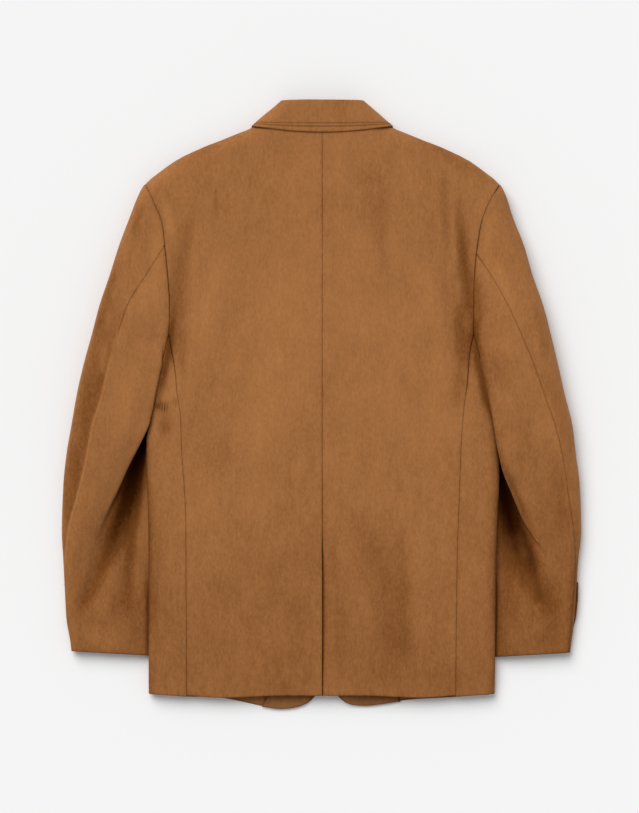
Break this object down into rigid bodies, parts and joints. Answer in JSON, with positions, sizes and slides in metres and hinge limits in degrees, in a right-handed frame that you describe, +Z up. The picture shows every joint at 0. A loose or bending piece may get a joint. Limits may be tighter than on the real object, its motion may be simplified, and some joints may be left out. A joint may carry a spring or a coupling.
{
  "type": "suede jacket",
  "caption": "Single-breasted suede jacket laid flat with its back up: notched lapels, centre vent, two-piece sleeves and cuff vents",
  "frame": {"origin": "bottom centre of the bounding box, on the surface that the jacket lies on", "axes": "+Z up from that surface, +Y from hem to collar, +X to the wearer's right"},
  "size_m": [0.6934, 0.8167, 0.0382],
  "materials": {
    "suede": "matt brushed suede, tan brown",
    "suede_under": "matt brushed suede on the fronts and facings",
    "horn": "dark horn, satin"
  },
  "bodies": {
    "root": {"back_left": "suede", "back_right": "suede", "side_left": "suede", "side_right": "suede", "front_left": "suede_under", "front_right": "suede_under", "facing_left": "suede_under", "facing_right": "suede_under", "lapel_left": "suede", "lapel_right": "suede", "collar": "suede", "sleeve_upper_left": "suede", "sleeve_upper_right": "suede", "sleeve_under_left": "suede", "sleeve_under_right": "suede", "cuff_lap_left": "suede", "cuff_lap_right": "suede", "button_1": "horn", "button_2": "horn"}
  },
  "joints": []
}
